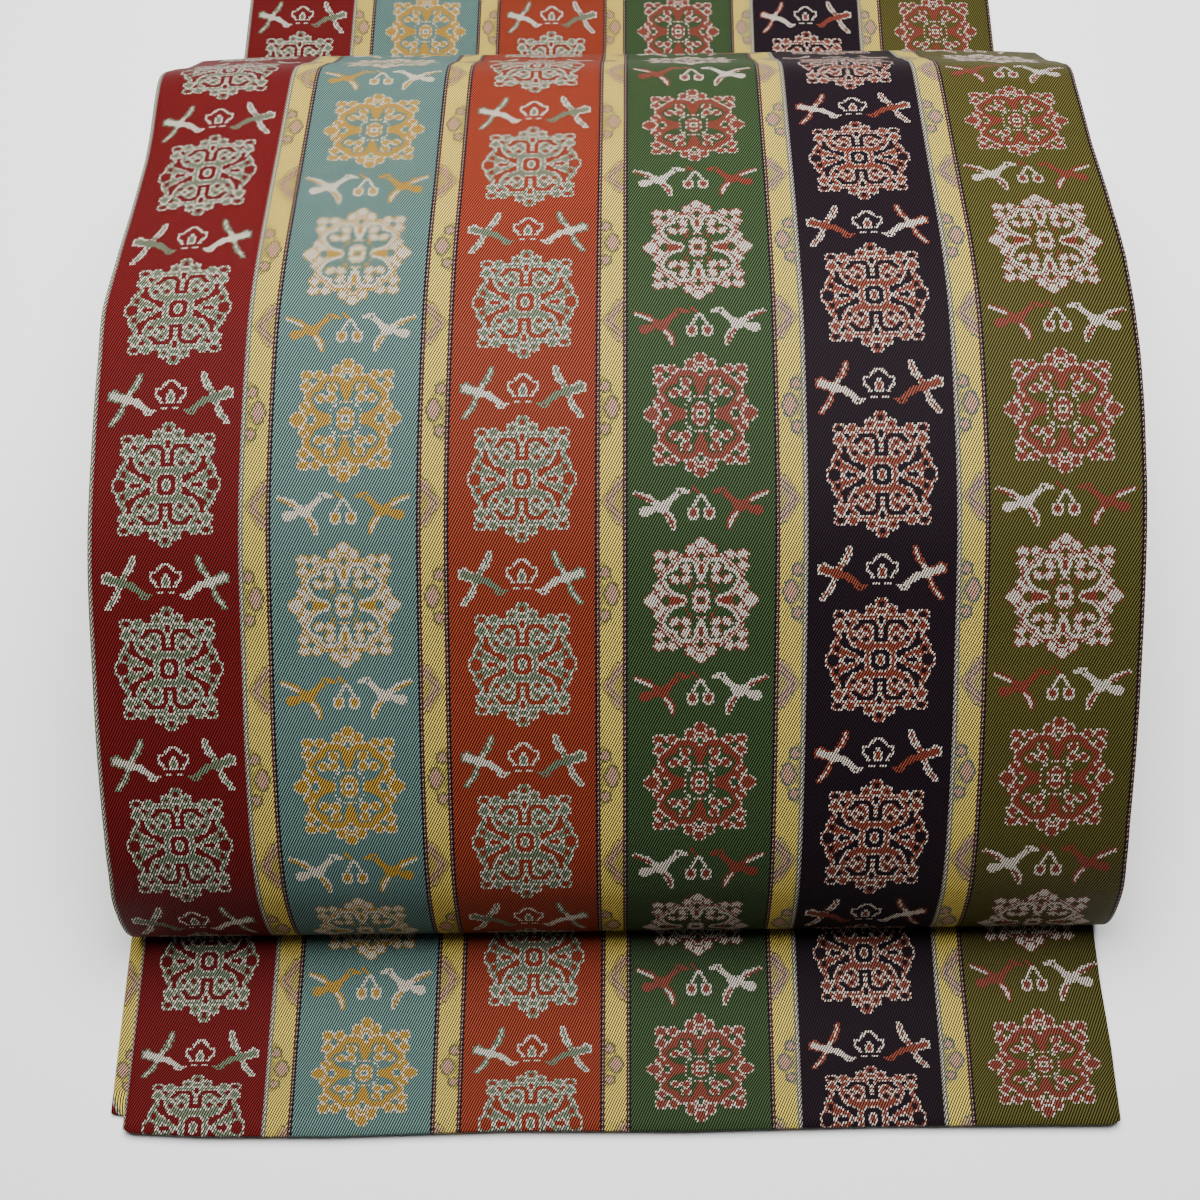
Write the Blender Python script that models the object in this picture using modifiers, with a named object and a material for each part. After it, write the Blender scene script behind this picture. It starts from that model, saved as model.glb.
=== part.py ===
"""Obi sash laid out for display: a flat near end, a high padded hump and a flat far end.

The sash is a double cloth: a patterned front cloth and a back cloth, joined down both long
edges over an interlining. Only at the near end do the two cloths lie apart. Every stretch is
a wall of that thickness, and the length that is folded away inside the hump is one solid with
its layers showing at the sides.

Axes: X runs across the cloth, Y along it from the near end to the far one, Z up from the
surface that the sash lies on. The origin is the middle of the footprint.
"""

import math

import bmesh
import bpy

# Driving dimensions, in metres.
CLOTH_WIDTH = 0.310
LAID_LENGTH = 0.530
SASH_WALL = 0.0026
SINGLE_CLOTH = 0.0013
SEAM_GAP = 0.0003

# The weft runs a little off square, so each line across climbs this much per metre of width.
WEFT_SLANT = 0.0128

# The back cloth slips out past the left edge of the front cloth at the near end.
BACK_CLOTH_SHOWS = 0.0047
BACK_CLOTH_SHORT = 0.0075

# The two edges of the cloth round downwards over this width.
EDGE_ROLL = 0.045

# The length folded away inside the hump.
FOLDED_LAYERS = 12
LAYER_NOTCH_DEPTH = 0.004
LAYER_NOTCH_SHARE = 0.22
FOLDED_INSET = 0.0012
FAR_RUN_STARTS = 0.384

TAIL_HEIGHT = 2 * SINGLE_CLOTH + SEAM_GAP

# Points of the outer face along the middle of the cloth, in millimetres: "along" from the
# near end and "height" above the surface. The two drops lower the left and right edges.
# The first and last spans of each table are straight, so that seams butt squarely.
HUMP_FRONT = (
    # name            along  height  left drop  right drop
    ("crease foot",    60.4,   0.0,   0.0,   0.0),
    ("crease",         60.4,   4.0,   0.0,   0.0),
    ("low wall",       61.6,  14.0,   0.0,   0.0),
    ("mid wall",       64.6,  27.0,   0.0,   0.0),
    ("high wall",      69.2,  37.0,   0.0,   0.0),
    ("wall shoulder",  79.5,  49.3,   0.0,   0.0),
    ("rise low",       96.4,  62.8,   0.0,   0.0),
    ("rise mid",      112.1,  73.4,   0.0,   0.0),
    ("rise high",     128.0,  82.8,   0.0,   0.0),
    ("rise top",      143.0,  91.6,   0.0,   0.0),
    ("crown start",   159.7, 100.2,   0.3,   0.5),
    ("crown low",     176.0, 106.0,   0.8,   1.0),
    ("crown rise",    195.1, 110.5,   1.5,   2.0),
    ("crown near",    214.4, 113.2,   1.8,   3.5),
    ("crown",         232.0, 113.9,   1.8,   4.0),
    ("crown far",     253.5, 111.8,   3.5,   3.0),
    ("fall start",    274.0, 107.7,   5.0,   1.2),
    ("fall mid",      291.0, 103.7,   5.0,   0.8),
    ("fall low",      310.3,  99.2,   4.2,   0.8),
    ("ridge near",    329.0,  95.0,   2.0,   1.5),
    ("ridge",         338.5,  92.0,   2.0,   2.0),
    ("ridge turn",    345.0,  88.0,   2.4,   2.4),
    ("slope start",   349.0,  84.0,   2.4,   2.4),
    ("slope seam",    352.0,  81.0,   2.4,   2.4),
)
HUMP_BACK = (
    # name            along  height  left drop  right drop
    ("slope seam",    352.0,  81.0,   2.4,   2.4),
    ("slope",         356.0,  77.0,   2.4,   2.4),
    ("slope hollow",  364.0,  68.4,   2.4,   2.4),
    ("slope rise",    372.0,  61.0,   2.2,   2.2),
    ("back ridge",    379.5,  54.0,   2.0,   2.0),
    ("back turn",     385.0,  45.0,   1.5,   1.5),
    ("back wall",     389.5,  33.0,   1.0,   1.0),
    ("back low",      393.5,  20.0,   0.5,   0.5),
    ("back foot",     399.0,   8.5,   0.0,   0.0),
    ("foot turn",     402.0,   6.0,   0.0,   0.0),
    ("foot",          402.0,   2.9,   0.0,   0.0),
)

# How far the near end of the front cloth falls short of square, in millimetres.
NEAR_END_WAVE = (
    # across  set back
    (-155.0, 3.0),
    (-130.0, 1.1),
    (-90.0, 0.6),
    (-35.0, 1.6),
    (20.0, 0.8),
    (80.0, 1.5),
    (155.0, 1.0),
)

# Stations across the half width, as shares of it, closer together towards the edge.
HALF_STATIONS = (0.0, 0.3, 0.58, 0.71, 0.84, 0.90, 0.96, 1.0)

# The origin is the middle of the footprint, whose corners the slant moves.
NEAREST = min(back / 1000 + WEFT_SLANT * x / 1000 for x, back in NEAR_END_WAVE)
FARTHEST = LAID_LENGTH + WEFT_SLANT * CLOTH_WIDTH / 2
FRAME_X = BACK_CLOTH_SHOWS / 2
FRAME_Y = -(NEAREST + FARTHEST) / 2

CLOTHS = {
    # name: base colour, roughness
    "brocade": ((0.25, 0.08, 0.05), 0.6),
    "back brocade": ((0.42, 0.34, 0.13), 0.6),
    "folded layers": ((0.30, 0.24, 0.12), 0.75),
}


def start_scene():
    for obj in list(bpy.data.objects):
        bpy.data.objects.remove(obj)
    collection = bpy.data.collections.new("obi_sash")
    bpy.context.scene.collection.children.link(collection)
    return collection


def cloth_material(name):
    colour, roughness = CLOTHS[name]
    material = bpy.data.materials.new(name)
    material.use_nodes = True
    shader = material.node_tree.nodes["Principled BSDF"]
    shader.inputs["Base Color"].default_value = (*colour, 1.0)
    shader.inputs["Roughness"].default_value = roughness
    shader.inputs["Metallic"].default_value = 0.0
    return material


def add_object(collection, name, mesh, material):
    mesh.materials.append(material)
    mesh.shade_smooth()
    mesh.set_sharp_from_angle(angle=math.radians(40))
    obj = bpy.data.objects.new(name, mesh)
    collection.objects.link(obj)
    return obj


def stations_across(half_width):
    right = [share * half_width for share in HALF_STATIONS]
    return [-x for x in reversed(right[1:])] + right


def interpolate(rows, x):
    """Reads a table of (place, value) rows at x, straight between rows."""
    for (x0, v0), (x1, v1) in zip(rows, rows[1:]):
        if x <= x1:
            share = max(0.0, (x - x0) / (x1 - x0))
            return v0 + (v1 - v0) * share
    return rows[-1][1]


def smooth_rows(table, steps=2):
    """The table's rows in metres, with points added on a curve through them."""
    rows = [tuple(value / 1000 for value in row[1:]) for row in table]
    out = [rows[0]]
    for i in range(len(rows) - 1):
        first, last = i == 0, i == len(rows) - 2
        count = 1 if first or last else steps
        for step in range(1, count + 1):
            t = step / count
            out.append(rows[i + 1] if t == 1 else hermite(rows, i, t))
    return out


def hermite(rows, i, t):
    """A point between rows i and i + 1, with slopes taken from the rows on either side."""
    before, start, end, after = rows[i - 1], rows[i], rows[i + 1], rows[i + 2]
    chord = math.dist(start[:2], end[:2])
    lead = chord / (chord + math.dist(before[:2], start[:2]))
    trail = chord / (chord + math.dist(end[:2], after[:2]))
    h0 = 2 * t**3 - 3 * t**2 + 1
    h1 = t**3 - 2 * t**2 + t
    h2 = -2 * t**3 + 3 * t**2
    h3 = t**3 - t**2
    return tuple(
        h0 * b + h1 * (c - a) * lead + h2 * c + h3 * (d - b) * trail
        for a, b, c, d in zip(before, start, end, after)
    )


def edge_drop(x, left, right):
    """How much lower than the middle the cloth is at x."""
    inwards = (abs(x) - CLOTH_WIDTH / 2 + EDGE_ROLL) / EDGE_ROLL
    return (left if x < 0 else right) * max(0.0, inwards) ** 2


def place(x, along, height):
    return (x + FRAME_X, along + WEFT_SLANT * x + FRAME_Y, height)


def grid_mesh(name, across, lines, point):
    """A grid whose points are point(x, line), as an open surface that faces up and out."""
    bm = bmesh.new()
    bmesh.ops.create_grid(bm, x_segments=len(across) - 1, y_segments=len(lines) - 1, size=0.5)
    for vert in bm.verts:
        column = round((vert.co.x + 0.5) * (len(across) - 1))
        row = round((vert.co.y + 0.5) * (len(lines) - 1))
        vert.co = point(across[column], lines[row])
    mesh = bpy.data.meshes.new(name)
    bm.to_mesh(mesh)
    bm.free()
    return mesh


def make_wall(obj, thickness):
    solidify = obj.modifiers.new("Cloth wall", "SOLIDIFY")
    solidify.thickness = thickness
    solidify.offset = -1.0
    solidify.use_even_offset = True
    solidify.use_rim = True


def after_seam(rows):
    """The rows with the first one moved along the cloth, clear of the stretch before it."""
    first, second = rows[0], rows[1]
    share = SEAM_GAP / math.dist(first[:2], second[:2])
    moved = tuple(a + (b - a) * share for a, b in zip(first, second))
    return [moved] + rows[1:]


def hump_stretch(collection, name, rows, material):
    def point(x, row):
        along, height, left, right = row
        return place(x, along, height - edge_drop(x, left, right))

    mesh = grid_mesh(name, stations_across(CLOTH_WIDTH / 2), rows, point)
    obj = add_object(collection, name, mesh, material)
    make_wall(obj, SASH_WALL)
    return obj


def near_end_front_cloth(collection, material):
    """The front cloth from its wavy end to the crease at the foot of the hump."""
    crease = HUMP_FRONT[0][1] / 1000 - SEAM_GAP

    def point(x, share):
        end = interpolate(NEAR_END_WAVE, x * 1000) / 1000
        return place(x, end + (crease - end) * share, TAIL_HEIGHT)

    lines = [step / 8 for step in range(9)]
    across = stations_across(CLOTH_WIDTH / 2)
    mesh = grid_mesh("near_end_front_cloth", across, lines, point)
    obj = add_object(collection, "near_end_front_cloth", mesh, material)
    make_wall(obj, SINGLE_CLOTH)
    return obj


def near_end_back_cloth(collection, material):
    """The back cloth below it, which shows along the left edge and stops short at the end."""
    crease = HUMP_FRONT[0][1] / 1000 - SEAM_GAP
    left = -CLOTH_WIDTH / 2 - BACK_CLOTH_SHOWS
    right = CLOTH_WIDTH / 2 - BACK_CLOTH_SHOWS

    def point(x, along):
        return place(x, along, SINGLE_CLOTH)

    across = [left + (right - left) * step / 8 for step in range(9)]
    lines = [BACK_CLOTH_SHORT + (crease - BACK_CLOTH_SHORT) * step / 4 for step in range(5)]
    mesh = grid_mesh("near_end_back_cloth", across, lines, point)
    obj = add_object(collection, "near_end_back_cloth", mesh, material)
    make_wall(obj, SINGLE_CLOTH)
    return obj


def far_run(collection, material):
    """The last stretch, flat on the surface, from under the hump to the far end."""

    def point(x, along):
        return place(x, along, SASH_WALL)

    across = stations_across(CLOTH_WIDTH / 2)
    lines = [FAR_RUN_STARTS + (LAID_LENGTH - FAR_RUN_STARTS) * step / 8 for step in range(9)]
    mesh = grid_mesh("far_run", across, lines, point)
    obj = add_object(collection, "far_run", mesh, material)
    make_wall(obj, SASH_WALL)
    return obj


def folded_top():
    """(along, height, left drop, right drop) rows just inside the hump's wall."""
    rows = smooth_rows(HUMP_FRONT)[:-1] + smooth_rows(HUMP_BACK)[1:]
    inset = SASH_WALL + 1.5 * SEAM_GAP
    top = []
    for before, row, after in zip(rows, rows[1:], rows[2:]):
        run, rise = after[0] - before[0], after[1] - before[1]
        length = math.hypot(run, rise)
        along = row[0] + inset * rise / length
        height = row[1] - inset * run / length
        top.append((along, height, row[2], row[3]))
    return top


def notched_side(x, bottom, top):
    """Points up one side: each layer's edge stands out, with a notch between layers."""
    inwards = LAYER_NOTCH_DEPTH if x < 0 else -LAYER_NOTCH_DEPTH
    layer = (top - bottom) / FOLDED_LAYERS
    lip = layer * LAYER_NOTCH_SHARE
    points = []
    for step in range(FOLDED_LAYERS):
        low = bottom + step * layer
        points.append((x + inwards if step else x, low))
        if step:
            points.append((x, low + lip))
        points.append((x, low + layer - lip))
    points.append((x + inwards, top))
    return points


def folded_section(along, bottom, top, left, right):
    """One closed section across the folded length, notched up both sides."""
    half = CLOTH_WIDTH / 2 - FOLDED_INSET
    left_side = notched_side(-half, bottom, top - edge_drop(-half, left, right))
    right_side = notched_side(half, bottom, top - edge_drop(half, left, right))
    inner = half - LAYER_NOTCH_DEPTH
    over = [(x, top - edge_drop(x, left, right)) for x in stations_across(inner)[1:-1]]
    ring = right_side + over[::-1] + left_side[::-1]
    return [place(x, along, height) for x, height in ring]


def folded_length(collection, material):
    """What is folded away inside the hump, as one solid with its layers at the sides."""
    top = folded_top()
    heights = [row[:2] for row in top]
    lefts = [(row[0], row[2]) for row in top]
    rights = [(row[0], row[3]) for row in top]
    first = HUMP_FRONT[0][1] / 1000 + SASH_WALL + 1.5 * SEAM_GAP
    step_at = FAR_RUN_STARTS - SEAM_GAP
    alongs = [first + rise for rise in (0.0, 0.002, 0.005, 0.010, 0.018)]
    alongs += [0.097, 0.115, 0.135, 0.155, 0.175, 0.195, 0.215, 0.235, 0.255, 0.275]
    alongs += [0.295, 0.315, 0.328, 0.336, 0.342, 0.350, 0.360, 0.370, 0.376]
    alongs += [step_at - 0.0001, step_at, 0.388, 0.392]
    rings = []
    for along in alongs:
        bottom = SASH_WALL + SEAM_GAP if along >= step_at else 0.0
        height = interpolate(heights, along) - 0.0002
        ring = folded_section(
            along, bottom, height, interpolate(lefts, along), interpolate(rights, along)
        )
        rings.append(ring)
    mesh = loft("folded_length", rings)
    return add_object(collection, "folded_length", mesh, material)


def loft(name, rings):
    """Joins rings of equal counts with quads and closes both ends."""
    bm = bmesh.new()
    rows = [[bm.verts.new(point) for point in ring] for ring in rings]
    for near, far in zip(rows, rows[1:]):
        for i in range(len(near)):
            j = (i + 1) % len(near)
            bm.faces.new((near[i], far[i], far[j], near[j]))
    bm.faces.new(rows[0])
    bm.faces.new(rows[-1][::-1])
    bmesh.ops.recalc_face_normals(bm, faces=bm.faces)
    mesh = bpy.data.meshes.new(name)
    bm.to_mesh(mesh)
    bm.free()
    return mesh


def main():
    collection = start_scene()
    brocade = cloth_material("brocade")
    back_brocade = cloth_material("back brocade")
    near_end_front_cloth(collection, brocade)
    near_end_back_cloth(collection, back_brocade)
    hump_stretch(collection, "hump_front_stretch", smooth_rows(HUMP_FRONT), brocade)
    back_rows = after_seam(smooth_rows(HUMP_BACK))
    hump_stretch(collection, "hump_back_stretch", back_rows, brocade)
    far_run(collection, brocade)
    folded_length(collection, cloth_material("folded layers"))


main()
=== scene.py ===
import math

import bpy
import numpy as np
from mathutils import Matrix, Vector


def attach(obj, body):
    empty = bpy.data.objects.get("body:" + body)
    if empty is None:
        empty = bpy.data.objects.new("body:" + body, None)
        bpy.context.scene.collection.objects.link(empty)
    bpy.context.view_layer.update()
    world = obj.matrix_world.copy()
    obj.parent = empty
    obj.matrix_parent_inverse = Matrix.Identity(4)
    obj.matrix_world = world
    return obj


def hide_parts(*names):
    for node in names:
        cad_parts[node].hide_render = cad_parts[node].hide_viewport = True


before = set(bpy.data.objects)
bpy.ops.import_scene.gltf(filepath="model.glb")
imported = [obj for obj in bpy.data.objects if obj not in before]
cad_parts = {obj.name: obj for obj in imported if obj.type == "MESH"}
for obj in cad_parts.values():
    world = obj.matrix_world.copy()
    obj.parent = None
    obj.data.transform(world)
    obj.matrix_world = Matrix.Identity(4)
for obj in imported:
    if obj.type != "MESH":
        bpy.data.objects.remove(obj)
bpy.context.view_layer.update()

bl_info = {
    "name": "Obi sash",
    "version": (1, 0, 0),
    "blender": (4, 5, 0),
    "location": "3D View > Sidebar > Obi sash",
    "description": "Dresses the laid-out obi sash: striped brocade, folded length, floor and light",
    "category": "Object",
}

MM = 0.001

# ---------------------------------------------------------------------------------------
# The sash as it lies, in millimetres. The tables hold the same values as the solids, but
# for the roll at the foot of the hump, which tucks under here, and the spread of the edges.
# ---------------------------------------------------------------------------------------

CLOTH_WIDTH = 310.0
LAID_LENGTH = 530.0
SASH_WALL = 2.6
SINGLE_CLOTH = 1.3
TAIL_HEIGHT = 2.9
WEFT_SLANT = 0.0128
BACK_CLOTH_SHOWS = 4.7
BACK_CLOTH_SHORT = 7.5
EDGE_ROLL = 45.0
FAR_RUN_STARTS = 384.0
FOLDED_LAYERS = 12
CREASE_AT = 65.5
CLOTH_TO_CREASE = 56.7
ROLL_HEIGHT = 12.0  # where the roll at the foot of the hump stands out furthest
NEAR_END_SPREADS_TO = 60.0  # the near end's edges spread no further along than this
FAR_RUN_ASIDE = 0.8
FAR_RUN_PHASE = 32.2  # the far run's first whole repeat, from where it starts

# Points of the outer face along the middle of the cloth, from the near end, and the height
# above the floor. The two drops lower the left and right edges.
HUMP_PROFILE = (
    # along  height  left drop  right drop
    (65.5,   0.0,   0.0,   0.0),
    (65.5,   2.4,   0.0,   0.0),
    (62.7,   7.0,   0.0,   0.0),
    (61.9,  12.0,   0.0,   0.0),
    (62.6,  19.0,   0.0,   0.0),
    (64.9,  27.0,   0.0,   0.0),
    (69.2,  37.0,   0.0,   0.0),
    (79.5,  49.3,   0.0,   0.0),
    (96.4,  62.8,   0.0,   0.0),
    (112.1,  73.4,   0.0,   0.0),
    (128.0,  82.8,   0.0,   0.0),
    (143.0,  91.6,   0.0,   0.0),
    (159.7, 100.2,   0.3,   0.5),
    (176.0, 106.0,   0.8,   1.0),
    (195.1, 110.5,   1.5,   2.0),
    (214.4, 113.2,   1.8,   3.5),
    (232.0, 113.9,   1.8,   4.0),
    (253.5, 111.8,   3.5,   3.0),
    (274.0, 107.7,   5.0,   1.2),
    (291.0, 103.7,   5.0,   0.8),
    (310.3,  99.2,   4.2,   0.8),
    (329.0,  95.0,   2.0,   1.5),
    (338.5,  92.0,   2.0,   2.0),
    (345.0,  88.0,   2.4,   2.4),
    (349.0,  84.0,   2.4,   2.4),
    (356.0,  77.0,   2.4,   2.4),
    (364.0,  68.4,   2.4,   2.4),
    (372.0,  61.0,   2.2,   2.2),
    (379.5,  54.0,   2.0,   2.0),
    (385.0,  45.0,   1.5,   1.5),
    (389.5,  33.0,   1.0,   1.0),
    (393.5,  20.0,   0.5,   0.5),
    (399.0,   8.5,   0.0,   0.0),
    (402.0,   6.0,   0.0,   0.0),
    (402.0,   2.9,   0.0,   0.0),
)

# How far the near end of the front cloth falls short of square.
NEAR_END_WAVE = (
    # across  set back
    (-155.0, 3.6),
    (-152.0, 2.4),
    (-130.0, 1.1),
    (-90.0, 0.6),
    (-35.0, 1.6),
    (20.0, 0.8),
    (80.0, 1.5),
    (152.0, 1.0),
    (155.0, 2.2),
)

# The weaver's beat varies, so the repeats aren't quite equal: length of cloth from the near
# end, and how many repeats have passed there.
REPEAT_TABLE = (
    # along the cloth, repeats
    (-60.0, -1.1),
    (0.2, -0.045),
    (11.0, 0.135),
    (26.0, 0.511),
    (41.0, 0.759),
    (54.6, 1.0),
    (70.0, 1.30),
    (84.0, 1.53),
    (113.9, 2.0),
    (169.4, 3.0),
    (224.2, 4.0),
    (281.5, 5.0),
    (341.3, 6.0),
    (395.5, 7.0),
    (452.0, 8.0),
    (508.0, 9.0),
)
REPEAT_LENGTH = 56.6
WEFT_BOW = 0.012  # how much more the weft slants over the crown, repeats for a band

# How far the cloth's edges spread, at the near end and over the hump.
EDGE_SPREAD = (
    # along  left  right
    (0.0, 0.0, 2.1),
    (25.0, 0.0, 1.6),
    (45.0, 0.0, 0.4),
    (60.5, 0.0, 0.0),
    (61.5, 2.4, 2.4),
    (66.0, 2.0, 2.0),
    (74.0, 0.9, 0.9),
    (84.0, 0.6, 0.3),
    (110.0, 0.8, 0.4),
    (150.0, 1.0, 0.8),
    (185.0, 0.9, 1.6),
    (215.0, 1.2, 2.9),
    (232.0, 2.0, 3.0),
    (250.0, 1.5, 2.7),
    (270.0, 1.4, 1.2),
    (300.0, 1.2, 0.0),
    (330.0, 2.2, 0.0),
    (349.0, 3.6, 1.0),
    (365.0, 2.0, 0.5),
    (395.0, 0.0, 0.0),
)
# Middle of each coloured band from the left edge: first one, step, and growth of the step.
BAND_PLACES = (22.55, 51.6, 0.23)
BAND_PITCH = 52.4
BAND_HALF = 21.45
GUARD_LINES = (0.55, 0.9, 1.4)  # dark, dotted and dark line, outwards from the band
DOT_PITCH = 0.68
# Where the motifs start in a repeat, on odd bands and on even ones.
MEDALLION_PHASES = (0.349, 0.013)
BIRD_PHASES = (0.705, 0.335)
STRIP_PHASE = 0.28
PALE_COVER = 0.82  # the pattern yarn shows a little through the pale yarn over it
OUTLINE_TIED = 3  # every third square of a medallion's outline is tied down

NEAREST = min(back + WEFT_SLANT * x for x, back in NEAR_END_WAVE)
FARTHEST = LAID_LENGTH + WEFT_SLANT * CLOTH_WIDTH / 2
FRAME_X = BACK_CLOTH_SHOWS / 2
FRAME_Y = -(NEAREST + FARTHEST) / 2

# ---------------------------------------------------------------------------------------
# The motifs. Each is drawn on squares, counted outwards from the middle of its band and
# along the cloth. A square is ground, outline, fill or steady: outline and fill swap yarns
# from one motif to the next, and steady squares keep theirs.
# ---------------------------------------------------------------------------------------

CHART_SQUARES = 32
SQUARE_ACROSS = 0.669
SQUARE_ALONG = 0.62
GROUND, OUTLINE, FILL, STEADY = 0, 1, 2, 3

MEDALLION_OPEN = (
    # kind    from col, row   to col, row   radius, end radius
    ("body",   0.0, 20.2,  11.0, 20.4,   2.7, 2.4),    # top of the frame
    ("body",   0.0, 24.6,   2.4, 24.6,   2.4, 2.4),
    ("body",   0.0, 12.0,   9.0, 12.0,   9.6, 9.2),
    ("body",   0.0,  4.0,   9.0,  4.0,  10.0, 9.3),
    ("body",  14.0, 17.0,  15.6, 19.3,   3.2, 3.2),    # under the corner pearls
    ("body",  16.8, 13.4,  17.2,  9.4,   1.8, 2.0),    # side band
    ("body",  17.2,  9.4,  18.6,  4.0,   2.0, 2.8),
    ("body",  18.6,  0.0,  18.6,  3.0,   3.2, 3.2),
    ("petal",  6.5, 15.5,   6.5, 10.5,   3.9, 3.9),
    ("petal",  3.6, 14.0,   2.4,  9.8,   0.8, 1.5),
    ("petal",  6.5, 10.5,  11.5, 10.5,   3.9, 4.1),
    ("petal",  4.6,  8.6,   5.2,  5.2,   2.9, 3.3),
    ("petal",  5.2,  5.2,  10.6,  7.6,   3.3, 3.3),
    ("hole",   0.0,  0.0,   0.0,  2.2,   6.2, 6.2),
    ("pearl",  4.5, 24.5,   4.5, 25.5,   2.6, 2.6),    # trefoil
    ("pearl",  0.0, 27.5,   0.0, 28.5,   3.1, 2.8),
    ("ring",   0.0, 21.9,   0.0, 21.9,   2.7, 1.5),
    ("eye",    0.0, 21.9,   0.0, 21.9,   1.5, 1.5),
    ("ring",  15.5,  0.0,  15.5,  0.5,   2.7, 1.6),
    ("eye",   15.5,  0.0,  15.5,  0.5,   1.6, 1.6),
    ("stem",   9.2,  0.6,  12.6,  1.4,   0.8, 1.2),    # inside the stems
    ("stem",   0.0, 16.4,   0.0, 13.6,   1.3, 0.8),
    ("pearl", 18.6,  6.2,  18.6,  6.2,   2.7, 2.7),    # trefoil at the side
    ("pearl", 21.2,  0.0,  21.2,  0.8,   3.7, 3.4),
    ("pearl", 12.5, 22.5,  12.5, 22.5,   2.6, 2.6),    # corner
    ("pearl", 17.5, 22.5,  18.5, 22.5,   2.6, 2.6),
    ("pearl", 18.0, 16.5,  18.0, 17.5,   2.7, 2.6),
    ("eye",   15.0, 19.5,  15.0, 19.5,   2.4, 1.6),
    ("dots",   0.0,  0.0,   0.0,  2.2,   7.2, 5.8),
    ("pearl",  0.0,  0.0,   0.0,  1.6,   4.5, 4.2),    # middle
    ("eye",    0.0,  0.0,   0.0,  0.4,   2.1, 1.2),
    ("pearl",  6.5, 15.5,   6.5, 16.0,   2.6, 2.6),    # three pearls in each petal
    ("pearl",  6.5, 10.5,   6.5, 10.5,   2.6, 2.6),
    ("pearl", 11.5, 10.5,  11.5, 10.5,   2.6, 2.6),
)
MEDALLION_CLOSE = (
    # kind    from col, row   to col, row   radius, end radius
    ("body",   0.0, 20.2,  10.0, 20.5,   2.9, 2.5),    # top of the frame
    ("body",   0.0, 25.0,   2.4, 24.4,   2.4, 2.4),
    ("body",   0.0, 12.0,   9.0, 12.0,   9.4, 9.2),
    ("body",   0.0,  4.0,   9.0,  4.0,  10.0, 9.0),
    ("body",  14.0, 17.0,  15.4, 19.0,   3.3, 3.2),
    ("body",  17.0, 13.6,  18.2,  9.4,   1.9, 2.2),    # side band
    ("body",  18.4,  8.8,  19.8,  5.0,   2.4, 2.6),
    ("body",   8.6,  0.6,  17.0,  2.6,   1.6, 2.8),
    ("hole",   0.0,  0.0,   0.0,  1.0,   4.5, 4.4),    # round the middle
    ("hole",   2.0, 16.4,   2.0, 10.4,   1.2, 1.3),    # slit round each heart
    ("hole",   0.0, 10.2,   1.8, 10.3,   1.3, 1.2),
    ("hole",   2.6, 17.3,   4.4, 18.9,   1.0, 1.1),
    ("hole",   4.4, 18.9,   8.8, 18.8,   1.1, 1.1),
    ("hole",   8.8, 18.8,  10.9, 16.2,   1.1, 1.0),
    ("hole",   9.4, 13.4,   9.4, 13.4,   0.8, 0.8),
    ("hole",  16.1,  8.8,  15.9, 12.8,   1.8, 1.0),
    ("hole",  15.2,  7.6,  11.4,  4.9,   1.2, 1.0),
    ("hole",  11.4,  4.9,   8.6,  3.9,   1.0, 1.5),
    ("hole",   8.2,  1.6,   8.6,  3.7,   0.9, 1.5),
    ("hole",  12.4,  0.0,  14.6,  0.3,   1.2, 1.3),
    ("hole",   0.0, 19.2,   0.0, 20.8,   1.1, 1.1),
    ("hole",  15.0, 18.9,  15.0, 18.9,   1.6, 1.6),
    ("line",   0.0, 22.9,   1.2, 22.9,   0.6, 0.6),
    ("line",  10.5, 13.5,  15.5, 15.5,   0.6, 0.6),    # from the hearts to the corner
    ("pearl",  4.5, 24.5,   4.5, 25.0,   2.6, 2.6),    # trefoil
    ("eye",    4.5, 24.5,   4.5, 24.5,   0.7, 0.7),
    ("pearl",  0.0, 27.5,   0.0, 28.5,   3.1, 2.8),
    ("eye",    0.0, 27.0,   0.0, 27.5,   1.4, 1.4),
    ("pearl", 20.5,  0.0,  20.5,  0.9,   3.8, 3.7),    # side tip
    ("eye",   20.5,  0.0,  20.5,  0.9,   2.1, 2.1),
    ("eye",   18.7,  5.0,  18.7,  6.0,   1.0, 1.0),
    ("pearl", 12.5, 22.5,  12.5, 22.5,   2.6, 2.6),    # corner
    ("pearl", 17.5, 22.5,  18.5, 22.5,   2.6, 2.6),
    ("eye",   17.5, 22.5,  18.5, 22.5,   1.1, 1.1),
    ("pearl", 18.0, 16.5,  18.0, 17.5,   2.7, 2.6),
    ("pearl",  0.0,  0.0,   0.0,  0.6,   2.4, 2.3),    # middle
    ("pearl",  6.5, 15.5,   6.5, 15.5,   2.6, 2.6),    # three pearls in each heart
    ("pearl",  6.5, 10.5,   6.5, 10.5,   2.6, 2.6),
    ("pearl", 11.5, 10.5,  11.5, 10.5,   2.6, 2.6),
    ("eye",    6.5, 15.5,   6.5, 15.5,   0.7, 0.7),
    ("eye",    6.5, 10.5,   6.5, 10.5,   1.2, 1.2),
    ("eye",   11.5, 10.5,  11.5, 10.5,   1.2, 1.2),
)
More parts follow.
